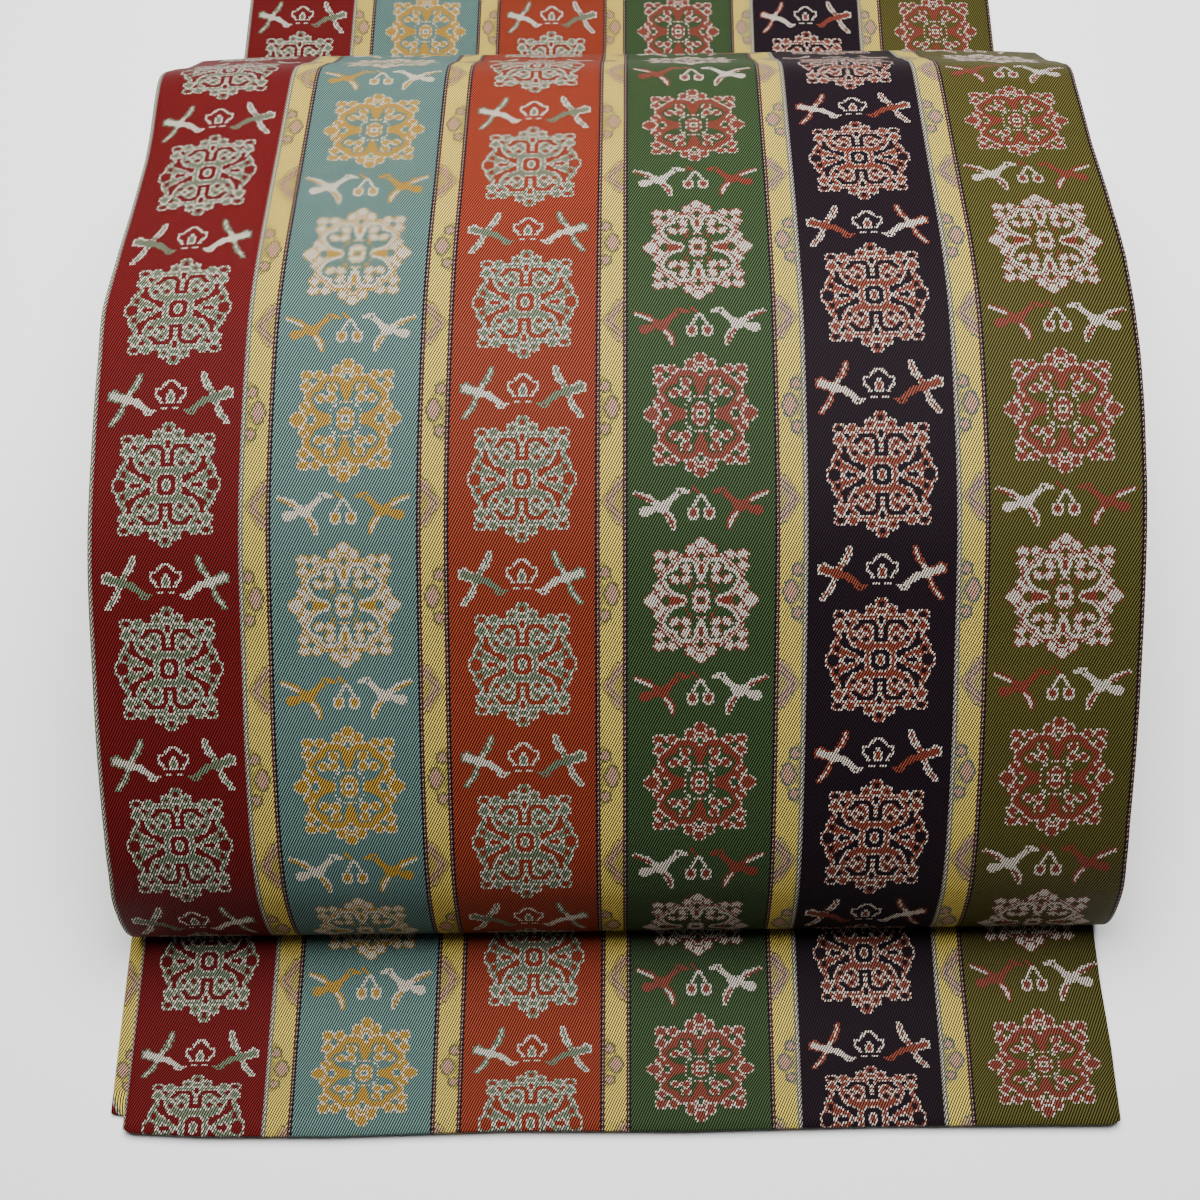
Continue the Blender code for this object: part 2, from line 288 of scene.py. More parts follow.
BIRDS_AND_CHERRIES = (
    # kind    from col, row   to col, row   radius, end radius
    ("solid",  9.4, 21.3,   8.9, 21.5,   2.0, 1.9),    # head
    ("solid",  8.2, 21.4,   4.8, 20.8,   1.0, 0.6),    # beak
    ("solid", 10.3, 20.2,  15.0, 15.0,   1.4, 1.5),    # neck
    ("solid", 16.4, 14.0,  19.2, 13.8,   2.6, 2.3),    # body
    ("solid", 19.2, 15.2,  23.4, 18.2,   1.5, 1.7),    # upper wing
    ("solid", 23.4, 18.2,  28.8, 20.8,   1.7, 0.8),
    ("solid", 20.4, 12.6,  24.6, 11.4,   1.4, 2.5),    # tail
    ("solid", 16.2, 12.4,  13.2,  7.4,   1.6, 1.8),    # lower wing
    ("solid", 13.2,  7.4,  11.9,  2.4,   1.8, 0.9),
    ("eye",    9.4, 21.0,   9.4, 21.0,   0.7, 0.7),
    ("line",  21.4, 16.4,  24.2, 18.0,   0.7, 0.7),    # quills
    ("line",  24.2, 18.0,  28.2, 20.0,   0.7, 0.6),
    ("line",  15.4, 10.4,  13.4,  7.2,   0.7, 0.7),
    ("line",  13.4,  7.2,  12.3,  3.6,   0.7, 0.6),
    ("stem",   3.0, 14.4,   0.4, 19.6,   0.6, 0.6),
    ("pearl",  3.5, 10.0,   3.5, 11.0,   2.7, 2.6),
    ("solid",  0.8, 20.2,   4.0, 23.6,   0.5, 0.5),    # twig
)
BIRDS_AND_CLOUD = (
    # kind    from col, row   to col, row   radius, end radius
    ("pearl", 18.4, 16.4,  15.6, 20.6,   1.3, 1.6),    # upper wing
    ("pearl", 15.6, 20.6,  14.3, 25.4,   1.6, 1.5),
    ("pearl", 20.4, 11.0,  22.4,  5.8,   1.3, 1.6),    # lower wing
    ("pearl", 22.4,  5.8,  25.6,  1.2,   1.6, 1.4),
    ("pearl", 22.4, 14.4,  25.3, 15.6,   2.3, 3.1),    # tail
    ("solid",  9.9,  6.8,   9.5,  6.7,   1.8, 1.8),    # head
    ("solid",  8.6,  6.9,   6.2,  7.4,   0.9, 0.6),    # beak
    ("solid", 10.4,  7.6,  15.4, 12.2,   1.3, 1.6),    # neck
    ("solid", 15.4, 12.2,  23.2, 14.6,   1.7, 1.8),    # body
    ("solid", 17.9, 17.0,  19.4, 14.4,   0.8, 1.2),    # wing roots
    ("solid", 20.6, 10.4,  20.0, 12.6,   0.8, 1.2),
    ("eye",    9.5,  6.5,   9.5,  6.5,   0.7, 0.7),
    ("stem",   0.0, 22.2,   1.2, 22.0,   0.6, 0.6),    # cloud
    ("stem",   2.0, 21.4,   3.6, 19.6,   0.6, 0.6),
    ("stem",   4.2, 18.9,   5.8, 18.5,   0.6, 0.6),
    ("stem",   6.4, 18.0,   6.8, 16.0,   0.6, 0.6),
    ("stem",   6.2, 14.8,   5.2, 14.0,   0.6, 0.6),
    ("stem",   4.8, 13.2,   4.0, 11.8,   0.6, 0.7),
    ("pearl",  0.0, 13.0,   0.0, 14.6,   2.5, 2.1),    # flame
    ("line",   0.0, 17.2,   0.4, 17.2,   0.6, 0.6),
    ("stem",   1.6,  8.3,   3.0,  8.3,   0.6, 0.6),
)
# The narrow bands' crescent, counted from one edge, and their flower, which starts at
# FLOWER_COLUMN and is counted from the other.
FLOWER_COLUMN = 13
CRESCENT_AND_FLOWER = (
    # kind    from col, row   to col, row   radius, end radius
    ("stem",   0.0,  0.0,   0.0,  5.0,   6.0, 4.4),    # shade inside the crescent
    ("hatch",  6.4,  0.0,   5.6,  2.4,   2.3, 2.3),
    ("hatch",  5.6,  2.4,   0.6,  9.4,   2.3, 2.1),
    ("stem",   9.0,  0.6,   2.6, 11.6,   0.6, 0.6),
    ("line",   2.6, 11.6,   0.0, 12.2,   0.5, 0.5),
    ("stem",  15.2,  0.0,  14.2,  9.0,   5.0, 3.9),    # shade between the petals
    ("stem",  14.2,  9.0,  13.4, 13.6,   3.9, 2.4),
    ("eye",   15.0,  6.0,  16.0,  6.8,   1.3, 1.3),
    ("pearl", 18.3,  0.0,  18.3,  3.2,   4.1, 2.6),
    ("pearl", 15.2, 10.4,  15.2, 11.2,   3.0, 2.7),
)


def nearness(column, row, shape):
    """How far inside the shape a square is, and how far it is from the shape's line."""
    x0, y0, x1, y1, start, end = shape[1:]
    run, rise = x1 - x0, y1 - y0
    length = run * run + rise * rise
    share = 0.0
    if length:
        share = min(1.0, max(0.0, ((column - x0) * run + (row - y0) * rise) / length))
    away = math.hypot(column - x0 - run * share, row - y0 - rise * share)
    return start + (end - start) * share - away, away


def body_squares(shapes):
    """The squares inside a motif's body, and the squares of the petals cut from it."""
    cover = {"body": set(), "petal": set(), "hole": set()}
    for shape in shapes:
        if shape[0] not in cover:
            continue
        for row in range(CHART_SQUARES):
            for column in range(CHART_SQUARES):
                if nearness(column + 0.5, row + 0.5, shape)[0] > 0:
                    cover[shape[0]].add((column, row))
    return cover["body"] - cover["petal"] - cover["hole"], cover["petal"] - cover["hole"]


def yarn_at(shape, column, row):
    """What a shape puts on a square, or None where it leaves the square alone."""
    kind, outer, inner = shape[0], shape[5], shape[6]
    depth, away = nearness(column + 0.5, row + 0.5, shape)
    if kind == "pearl" and depth > 0:
        return OUTLINE if depth < 1.05 else FILL
    if kind == "eye" and away < outer:
        return GROUND if away < inner else OUTLINE
    if kind == "dots" and inner < away < outer and (row // 2 + column // 2) % 2:
        return OUTLINE
    if kind == "ring" and inner < away < outer:
        return OUTLINE
    if kind == "solid" and depth > 0:
        return FILL
    if kind == "hatch" and depth > 0:
        return FILL if (row + column) % 3 else OUTLINE
    if kind == "line" and depth > 0:
        return OUTLINE
    if kind == "stem" and depth > 0:
        return STEADY
    return None


def neighbours(squares):
    """The squares beside these, where the motif is mirrored about its first column and row."""
    around = set()
    for column, row in squares:
        around |= {(column + 1, row), (column, row + 1), (max(column - 1, 0), row),
                   (column, max(row - 1, 0))}
    return around


def drawn(shapes, tied=0):
    """The chart of a motif: one row of squares after another.

    Where tied is set, one outline square in that many is tied down under the fill's yarn.
    """
    chart = [[GROUND] * CHART_SQUARES for _ in range(CHART_SQUARES)]
    body, petals = body_squares(shapes)
    near = neighbours(neighbours(petals))
    rim = neighbours(near) - near
    for square in body:
        if neighbours([square]) - body - petals:
            chart[square[1]][square[0]] = OUTLINE
        else:
            chart[square[1]][square[0]] = STEADY if square in rim else FILL
    for shape in shapes:
        for row in range(CHART_SQUARES):
            for column in range(CHART_SQUARES):
                yarn = yarn_at(shape, column, row)
                if yarn is not None:
                    chart[row][column] = yarn
    for row, squares in enumerate(chart):
        for column, yarn in enumerate(squares):
            if tied and yarn == OUTLINE and (row + column) % tied == 0:
                squares[column] = FILL
    return chart


# ---------------------------------------------------------------------------------------
# Shader maths
# ---------------------------------------------------------------------------------------

RAMP_SQUARES = 11  # squares of a chart's row that one colour channel of a ramp holds


class Sock:
    """A shader socket that can be used in Python expressions."""

    def __init__(self, tree, socket):
        self.tree = tree
        self.socket = socket

    def node(self, kind, inputs=(), output=0, **settings):
        made = self.tree.nodes.new(kind)
        for name, value in settings.items():
            if name == "stops":
                fill_ramp(made.color_ramp, value)
            else:
                setattr(made, name, value)
        for key, value in dict(inputs).items():
            target = made.inputs[key]
            if isinstance(value, Sock):
                self.tree.links.new(value.socket, target)
            else:
                target.default_value = value
        return Sock(self.tree, made.outputs[output])

    def math(self, operation, *others):
        values = {i: v for i, v in enumerate((self,) + others)}
        return self.node("ShaderNodeMath", values, operation=operation)

    def __add__(self, other):
        return self.math("ADD", other)

    __radd__ = __add__

    def __sub__(self, other):
        return self.math("SUBTRACT", other)

    def __rsub__(self, other):
        return self.node("ShaderNodeMath", {0: other, 1: self}, operation="SUBTRACT")

    def __mul__(self, other):
        return self.math("MULTIPLY", other)

    __rmul__ = __mul__

    def __truediv__(self, other):
        return self.math("DIVIDE", other)

    def __rpow__(self, other):
        return self.node("ShaderNodeMath", {0: other, 1: self}, operation="POWER")

    def __mod__(self, other):
        return self.math("FLOORED_MODULO", other)

    def __gt__(self, other):
        return self.math("GREATER_THAN", other)

    def __lt__(self, other):
        return self.math("LESS_THAN", other)

    def __abs__(self):
        return self.math("ABSOLUTE")

    def floor(self):
        return self.math("FLOOR")

    def sine(self):
        return self.math("SINE")

    def least(self, other):
        return self.math("MINIMUM", other)

    def most(self, other):
        return self.math("MAXIMUM", other)

    def between(self, low, high):
        return (self > low) * (self < high)

    def equals(self, number):
        return self.between(number - 0.5, number + 0.5)

    def mixed(self, first, second):
        """Numbers: first where this is 0, second where it is 1."""
        inputs = {0: self, 2: first, 3: second}
        return self.node("ShaderNodeMix", inputs, data_type="FLOAT")

    def coloured(self, first, second, blend="MIX"):
        """Colours: first where this is 0, second where it is 1."""
        inputs = {0: self, 6: first, 7: second}
        return self.node("ShaderNodeMix", inputs, 2, data_type="RGBA", blend_type=blend)

    def vector(self, operation, *others, output=0):
        values = {i: v for i, v in enumerate((self,) + others)}
        return self.node("ShaderNodeVectorMath", values, output, operation=operation)

    def scaled(self, number):
        return self.node("ShaderNodeVectorMath", {0: self, "Scale": number}, operation="SCALE")

    def ramp(self, stops):
        return self.node("ShaderNodeValToRGB", {0: self}, stops=stops)

    def part(self, letter):
        return self.node("ShaderNodeSeparateXYZ", {0: self}, "XYZ".index(letter))


def fill_ramp(ramp, stops):
    """Steps of (place, colour), with no blending between them."""
    ramp.interpolation = "CONSTANT"
    while len(ramp.elements) > 1:
        ramp.elements.remove(ramp.elements[-1])
    ramp.elements[0].position = stops[0][0]
    for place, _ in stops[1:]:
        ramp.elements.new(place)
    for element, (_, colour) in zip(ramp.elements, stops):
        element.color = (*colour, 1.0)


def chart_stops(chart):
    """A chart as ramp stops: a stop for each row, and a channel for each run of squares."""
    stops = []
    for row, squares in enumerate(chart):
        channels = []
        for channel in range(3):
            run = squares[channel * RAMP_SQUARES:(channel + 1) * RAMP_SQUARES]
            channels.append(float(sum(yarn * 4**i for i, yarn in enumerate(run))))
        stops.append((row / len(chart), channels))
    return stops


def yarn_in(channels, column):
    """The yarn in a column of a chart's row, from the row's three channels."""
    channel = (column / RAMP_SQUARES).floor()
    square = column - channel * RAMP_SQUARES
    red, green, blue = (channels.part(letter) for letter in "XYZ")
    packed = channel.equals(0) * red + channel.equals(1) * green + channel.equals(2) * blue
    return ((packed + 0.25) / 4.0**square).floor() % 4.0


def row_place(row):
    """Where a ramp holds the row, in the middle of its step."""
    return (row + 0.5) / CHART_SQUARES


# ---------------------------------------------------------------------------------------
# Settings that a user would change
# ---------------------------------------------------------------------------------------


def colour_setting(name, description, default):
    return bpy.props.FloatVectorProperty(
        name=name, description=description, default=default, subtype="COLOR", min=0.0, max=1.0
    )


class SashColours(bpy.types.PropertyGroup):
    """Colours of the sash's yarns"""

    red: colour_setting("Red", "Ground of the first band", (0.072, 0.0032, 0.0034))
    teal: colour_setting("Teal", "Ground of the second band", (0.056, 0.100, 0.090))
    orange: colour_setting("Orange", "Ground of the third band", (0.130, 0.018, 0.0070))
    green: colour_setting("Green", "Ground of the fourth band", (0.0193, 0.0348, 0.0120))
    purple: colour_setting("Purple", "Ground of the fifth band", (0.0058, 0.0022, 0.0046))
    olive: colour_setting("Olive", "Ground of the sixth band", (0.041, 0.036, 0.0070))
    yellow: colour_setting("Yellow", "Ground of the narrow bands", (0.336, 0.255, 0.050))
    gold_yarn: colour_setting("Gold yarn", "Pattern yarn on teal", (0.218, 0.123, 0.0145))
    sage_yarn: colour_setting(
        "Sage yarn", "Pattern yarn on red and orange", (0.072, 0.086, 0.052)
    )
    vermilion_yarn: colour_setting(
        "Vermilion yarn", "Pattern yarn on green, purple and olive", (0.102, 0.0205, 0.0115)
    )
    white: colour_setting("White yarn", "Pale pattern yarn", (0.365, 0.335, 0.282))
    pink_yarn: colour_setting("Pink yarn", "Petals of the narrow bands", (0.250, 0.140, 0.095))
    moss_yarn: colour_setting("Moss yarn", "Outlines of the petals", (0.085, 0.080, 0.026))
    slate_yarn: colour_setting(
        "Slate yarn", "Outlines of the petals beside purple", (0.066, 0.076, 0.062)
    )
    dark_guard: colour_setting("Dark guard", "Guard line beside a band", (0.006, 0.003, 0.004))
    rust_guard: colour_setting("Rust guard", "Guard line beside yellow", (0.035, 0.010, 0.010))
    guard_dots: colour_setting("Guard dots", "Dots of a dark guard", (0.200, 0.140, 0.120))
    grey_guard: colour_setting("Grey guard", "Pale guard line beside a band",
                               (0.115, 0.100, 0.080))
    green_guard: colour_setting("Green guard", "Pale guard line beside yellow",
                                (0.085, 0.095, 0.062))


class SashWeave(bpy.types.PropertyGroup):
    """How the cloth is woven, and how strongly its twill's shade and highlight are painted"""

    twill_pitch: bpy.props.FloatProperty(
        name="Twill pitch", description="Across the cloth between two twill lines, mm",
        default=0.83, min=0.3, max=3.0,
    )
    pick_pitch: bpy.props.FloatProperty(
        name="Pick pitch", description="Along the cloth between two picks, mm",
        default=0.72, min=0.3, max=3.0,
    )
    twill_lean: bpy.props.FloatProperty(
        name="Twill lean", description="How far a twill line leans to the right as it climbs",
        default=0.5, min=-2.0, max=2.0,
    )
    # Painted shade of the weave: how much darker the ground's base colour is painted between twill
    # lines, and how much brighter on them.
    twill_painted_shade: bpy.props.FloatProperty(
        name="Twill contrast", description="How dark the ground is between twill lines",
        default=1.0, min=0.0, max=1.0,
    )
    # Painted shade of the weave on the pattern yarn, painted the same way.
    float_painted_shade: bpy.props.FloatProperty(
        name="Float contrast", description="How dark the pattern is between twill lines",
        default=1.0, min=0.0, max=1.0,
    )
    twill_relief: bpy.props.FloatProperty(
        name="Twill relief", description="Height of a twill line", default=0.00012,
        min=0.0, max=0.001, subtype="DISTANCE", unit="LENGTH",
    )
    float_relief: bpy.props.FloatProperty(
        name="Float relief", description="Height of the pattern yarn over the ground",
        default=0.00016, min=0.0, max=0.001, subtype="DISTANCE", unit="LENGTH",
    )


class SashStage(bpy.types.PropertyGroup):
    """Floor and light"""

    floor: colour_setting("Floor", "Colour of the floor", (0.93, 0.93, 0.93))
    overhead: bpy.props.FloatProperty(
        name="Overhead light", description="Power of the wide light above the sash",
        default=16.0, min=0.0, unit="POWER",
    )
    wide: bpy.props.FloatProperty(
        name="Wide light", description="Power of the light that fills the floor",
        default=20.0, min=0.0, unit="POWER",
    )
    ambient: bpy.props.FloatProperty(
        name="Ambient", description="Strength of the light from all round", default=0.05,
        min=0.0, max=5.0,
    )


# ---------------------------------------------------------------------------------------
# The brocade
# ---------------------------------------------------------------------------------------


def yarn_colour(name):
    return (*getattr(bpy.context.scene.sash_colours, name), 1.0)


def band_colour(index, names):
    """A ramp over the six bands that gives each its colour."""
    stops = [(i / 6, yarn_colour(name)[:3]) for i, name in enumerate(names)]
    return ((index + 0.5) / 6).ramp(stops)


def brocade_material():
    """The striped brocade: six bands, narrow yellow bands, guard lines and motifs, with the twill's
    painted shade and painted highlight in the base colour.

    It reads the piece's UV map, which counts bands across and repeats along the cloth.
    """
    weave = bpy.context.scene.sash_weave
    material = bpy.data.materials.new("striped brocade")
    material.use_nodes = True
    tree = material.node_tree
    shader = tree.nodes["Principled BSDF"]
    uv = tree.nodes.new("ShaderNodeUVMap")
    uv.uv_map = "cloth"
    place = Sock(tree, uv.outputs[0])
    across, repeats = place.part("X"), place.part("Y")

    # Left of the first band and on the back the bands run in mirrored order.
    mirrored = abs(across)
    band = mirrored.floor().least(5.0)
    offset = (across - across.floor() - 0.5) * BAND_PITCH
    aside = abs(offset)
    right_half = offset > 0.0
    millimetres = repeats * REPEAT_LENGTH
    even = (band % 2.0) < 0.5

    # Medallions sit near the whole repeats on even bands and between them on odd ones.
    centre = even.mixed(*MEDALLION_PHASES)
    count = (repeats - centre + 0.5).floor()
    from_centre = abs(repeats - centre - count) * REPEAT_LENGTH
    medallion_row = (from_centre / SQUARE_ALONG).floor()
    column = (aside / SQUARE_ACROSS).floor()
    on_chart = (aside < BAND_HALF) * (medallion_row < CHART_SQUARES)
    row = row_place(medallion_row.least(CHART_SQUARES - 1))
    open_row = row.ramp(chart_stops(drawn(MEDALLION_OPEN, tied=OUTLINE_TIED)))
    close_row = row.ramp(chart_stops(drawn(MEDALLION_CLOSE, tied=OUTLINE_TIED)))
    medallion = yarn_in(even.coloured(open_row, close_row), column) * on_chart
    odd_count = (count % 2.0) > 0.5
    medallion_swap = odd_count * (1.0 - even)

    # Birds fly between the medallions, and swap yarns from row to row and side to side.
    bird_start = even.mixed(*BIRD_PHASES)
    bird_count = (repeats - bird_start).floor()
    bird_row = ((repeats - bird_start - bird_count) * REPEAT_LENGTH / SQUARE_ALONG).floor()
    on_birds = (aside < BAND_HALF) * (bird_row < CHART_SQUARES)
    row = row_place(bird_row.least(CHART_SQUARES - 1))
    cherry_row = row.ramp(chart_stops(drawn(BIRDS_AND_CHERRIES)))
    cloud_row = row.ramp(chart_stops(drawn(BIRDS_AND_CLOUD)))
    right_twig = right_half * (1.0 - even) * (column < 4.5) * (bird_row > 19.5)
    on_birds = on_birds * (1.0 - right_twig)  # the cherries' twig grows to the left
    birds = yarn_in(even.coloured(cherry_row, cloud_row), column) * on_birds
    bird_side = abs(right_half - ((bird_count + even) % 2.0))
    outer = column > even.most(bird_row > 16.5).mixed(6.5, 4.5)
    bird_swap = bird_side * outer

    is_bird = (birds > 0.5) * (medallion < 0.5)
    yarn = medallion.most(birds)
    swap = is_bird.mixed(medallion_swap, bird_swap)
    outline, fill = yarn.equals(OUTLINE), yarn.equals(FILL)
    white = outline * (1.0 - swap) + fill * swap + yarn.equals(STEADY) * is_bird
    motif = yarn > 0.5

    ground = band_colour(band, ("red", "teal", "orange", "green", "purple", "olive"))
    pattern = band_colour(
        band, ("sage_yarn", "gold_yarn", "sage_yarn") + ("vermilion_yarn",) * 3
    )
    yarns = (white * PALE_COVER).coloured(pattern, yarn_colour("white"))
    cloth = motif.coloured(ground, yarns)

    # Narrow bands: a crescent on one edge and a flower on the other, in turn.
    in_strip = aside > BAND_HALF + GUARD_LINES[2]
    strip_width = BAND_PITCH - 2 * (BAND_HALF + GUARD_LINES[2])
    from_edge = aside - BAND_HALF - GUARD_LINES[2]
    from_left = right_half.mixed(strip_width - from_edge, from_edge)
    strip = (mirrored + 0.5).floor()
    halves = repeats * 2.0 - STRIP_PHASE
    crescent = (halves.floor() % 2.0) > 0.5
    hangs_left = abs(crescent - ((strip % 2.0) > 0.5))
    from_own = hangs_left.mixed(strip_width - from_left, from_left)
    column = (from_own / SQUARE_ACROSS).floor() + (1.0 - crescent) * FLOWER_COLUMN
    strip_row = abs(halves - halves.floor() - 0.5) * (REPEAT_LENGTH / 2)
    row = row_place((strip_row / SQUARE_ALONG).floor())
    strip_yarn = yarn_in(row.ramp(chart_stops(drawn(CRESCENT_AND_FLOWER))), column)
    edging = (strip > 3.5).coloured(yarn_colour("moss_yarn"), yarn_colour("slate_yarn"))
    petals = strip_yarn.equals(FILL).coloured(edging, yarn_colour("pink_yarn"))
    cover = (strip_yarn > 0.5) * strip_yarn.equals(STEADY).mixed(1.0, 0.55)
    strip_cloth = cover.coloured(yarn_colour("yellow"), petals)
    cloth = in_strip.coloured(cloth, strip_cloth)

    # Guard lines: a dotted line between two dark ones. They are pale by red and purple.
    into_guard = aside - BAND_HALF
    in_guard = into_guard.between(0.0, GUARD_LINES[2])
    dotted = into_guard.between(GUARD_LINES[0], GUARD_LINES[1])
    dot = ((millimetres / DOT_PITCH) % 1.0 < 0.6) * dotted
    inner = into_guard > GUARD_LINES[1]
    pale_by = band.equals(0) + band.equals(4)
    dark_line = inner.coloured(yarn_colour("dark_guard"), yarn_colour("rust_guard"))
    pale_line = inner.coloured(yarn_colour("grey_guard"), yarn_colour("green_guard"))
    dots = pale_by.coloured(yarn_colour("guard_dots"), yarn_colour("white"))
    guard = dot.coloured(pale_by.coloured(dark_line, pale_line), dots)
    cloth = in_guard.coloured(cloth, guard)

    # Twill: slanting lines of short floats. The base colour is painted darker between them as
    # painted shade and brighter along them as painted highlight, and along the picks too; the bump
    # adds the real relief.
    width = across * BAND_PITCH
    lines = (width - millimetres * weave.twill_lean) / weave.twill_pitch
    ridge = ((lines * (2 * math.pi)).sine() * 2.4).least(1.0).most(-1.0)
    # Picks: painted light and shade along each float, as on a twisted yarn.
    picks = ((millimetres / weave.pick_pitch + lines * 0.5) * (2 * math.pi)).sine()
    plain = (1.0 - in_guard) * (1.0 - motif * (1.0 - in_strip))
    depth = plain.mixed(weave.float_painted_shade, weave.twill_painted_shade)
    # Painted shade and painted highlight of the weave's relief: from black between the twill lines
    # to about twice the yarn's colour on them.
    shade = (ridge * depth + 1.0) * (picks * 0.16 + 1.0)
    streaks = place.node(
        "ShaderNodeTexNoise",
        {"Vector": place.vector("MULTIPLY", (1.3, 95.0, 1.0)), "Scale": 1.0, "Detail": 2.0},
    )
    # The streaks are yarn tone that varies at random; the painted weave shade multiplies them into
    # the base colour.
    cloth = cloth.scaled(shade * (streaks * 0.22 + 0.89))
    tree.links.new(cloth.socket, shader.inputs["Base Color"])

    floats = motif * (aside < BAND_HALF)
    tree.links.new(floats.mixed(0.66, 0.52).socket, shader.inputs["Roughness"])
    height = (ridge * 0.5 + picks * 0.2) * weave.twill_relief + floats * weave.float_relief
    bump = place.node("ShaderNodeBump", {"Height": height, "Distance": 1.0, "Strength": 0.8})
    tree.links.new(bump.socket, shader.inputs["Normal"])
    shader.inputs["Specular IOR Level"].default_value = 0.08
    return material


def brocade():
    return bpy.data.materials.get("striped brocade") or brocade_material()


# ---------------------------------------------------------------------------------------
# Sheets of cloth
# ---------------------------------------------------------------------------------------


def table_value(rows, x):
    """Reads a table of (place, value) rows at x, straight between rows."""
    return float(np.interp(x, [row[0] for row in rows], [row[1] for row in rows]))


def band_place(x):
    """How many bands lie between the left edge and a place across the cloth."""
    first, step, growth = BAND_PLACES
    from_left = x + CLOTH_WIDTH / 2
    root = math.sqrt(max(0.0, step * step + 4 * growth * (from_left - first)))
    return 0.5 + (root - step) / (2 * growth)


def curve_points(table, steps):
    """The table's rows, with points added on a smooth curve between the first and last."""
    rows = [np.array(row) for row in table]
    out = [rows[0]]
    for i in range(len(rows) - 1):
        first_or_last = i in (0, len(rows) - 2)
        count = 1 if first_or_last else steps
        for step in range(1, count + 1):
            out.append(rows[i + 1] if step == count else between_rows(rows, i, step / count))
    return out


def between_rows(rows, i, t):
    before, start, end, after = rows[i - 1:i + 3]
    chord = math.dist(start[:2], end[:2])
    lead = chord / (chord + math.dist(before[:2], start[:2]))
    trail = chord / (chord + math.dist(end[:2], after[:2]))
    return (
        (2 * t**3 - 3 * t**2 + 1) * start
        + (t**3 - 2 * t**2 + t) * (end - before) * lead
        + (3 * t**2 - 2 * t**3) * end
        + (t**3 - t**2) * (after - start) * trail
    )


def edge_drop(x, left, right):
    inwards = (abs(x) - CLOTH_WIDTH / 2 + EDGE_ROLL) / EDGE_ROLL
    return (left if x < 0 else right) * max(0.0, inwards) ** 2


def edge_spread(x, along):
    """How far a place across the cloth moves outwards, in millimetres."""
    side = 1 if x < 0 else 2
    spread = np.interp(along, [row[0] for row in EDGE_SPREAD], [row[side] for row in EDGE_SPREAD])
    return math.copysign(float(spread) * (2 * abs(x) / CLOTH_WIDTH) ** 6, x)


def placed(x, along, height):
    """A point of the sash in the frame, in metres."""
    return ((x + FRAME_X) * MM, (along + WEFT_SLANT * x + FRAME_Y) * MM, height * MM)


def deselect_all():
    if bpy.context.mode != "OBJECT":
        bpy.ops.object.mode_set(mode="OBJECT")
    bpy.ops.object.select_all(action="DESELECT")


def cloth_grid(name, columns, rows, point, cloth_uv):
    """A grid laid out by point(s, t) in metres, with its UV map from cloth_uv(s, t).

    s runs across and t along, both from 0 to 1.
    """
    deselect_all()
    bpy.ops.mesh.primitive_grid_add(x_subdivisions=columns, y_subdivisions=rows, size=1.0)
    obj = bpy.context.active_object
    obj.name = obj.data.name = name
    mesh = obj.data
    shares = [(v.co.x + 0.5, v.co.y + 0.5) for v in mesh.vertices]
    for vert, (s, t) in zip(mesh.vertices, shares):
        vert.co = point(s, t)
    uv = mesh.uv_layers[0]
    uv.name = "cloth"
    places = [cloth_uv(s, t) for s, t in shares]
    flat = np.array([places[loop.vertex_index] for loop in mesh.loops], np.float32)
    uv.data.foreach_set("uv", flat.ravel())
    mesh.update()
    return obj


def make_cloth(obj, thickness, outwards=-1.0, rounding=0.8):
    """Gives the open sheet its thickness and rounded edges."""
    solidify = obj.modifiers.new("Cloth", "SOLIDIFY")
    solidify.thickness = thickness * MM
    solidify.offset = outwards
    solidify.use_even_offset = True
    bevel = obj.modifiers.new("Rounded edges", "BEVEL")
    bevel.width = min(rounding, thickness * 0.42) * MM
    bevel.segments = 2
    bevel.limit_method = "ANGLE"
    bevel.angle_limit = math.radians(62)
    bpy.context.view_layer.objects.active = obj
    for modifier in list(obj.modifiers):
        bpy.ops.object.modifier_apply(modifier=modifier.name)
    obj.select_set(True)
    bpy.ops.object.shade_smooth_by_angle(angle=math.radians(50))
    obj.data.materials.clear()
    obj.data.materials.append(brocade())


def sheet_piece(obj, replaced):
    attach(obj, "root")
    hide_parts(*replaced)


def ripple(x, along, size):
    """A faint unevenness of laid cloth, in millimetres."""
    return size * (
        0.5 * math.sin(along / 23.0 + x / 61.0 + 0.6)
        + 0.3 * math.sin(along / 11.0 - x / 29.0 + 2.1)
        + 0.2 * math.sin(x / 17.0 + along / 37.0)
    )


def hump_line():
    """The hump's outer face along the middle: rows of the profile, and cloth length."""
    rows = np.array(curve_points(HUMP_PROFILE, 6))
    steps = np.hypot(*np.diff(rows[:, :2], axis=0).T)
    length = np.concatenate(([0.0], np.cumsum(steps)))
    return rows, length


class SASH_OT_near_end_front(bpy.types.Operator):
    """The front cloth from its free end to the crease"""

    bl_idname = "sash.near_end_front"
    bl_label = "Near end, front cloth"

    def execute(self, context):
        reach = CREASE_AT - 0.3

        def point(s, t):
            x = (s - 0.5) * CLOTH_WIDTH
            end = table_value(NEAR_END_WAVE, x)
            along = end + (reach - end) * t
            lift = ripple(x, along, 0.35) * math.sin(math.pi * t)
            height = TAIL_HEIGHT + 0.1 + max(-0.1, lift)
            return placed(x + edge_spread(x, min(along, NEAR_END_SPREADS_TO)), along, height)

        def cloth_uv(s, t):
            x = (s - 0.5) * CLOTH_WIDTH
            end = table_value(NEAR_END_WAVE, x)
            # The cloth edges turn under here, so a little less of each outer band shows.
            shown = x * 0.989 - 1.0
            return band_place(shown), table_value(REPEAT_TABLE, end + (reach - end) * t)

        obj = cloth_grid("near_end_front", 104, 20, point, cloth_uv)
        make_cloth(obj, SINGLE_CLOTH, rounding=0.5)
        sheet_piece(obj, ["near_end_front_cloth"])
        return {"FINISHED"}


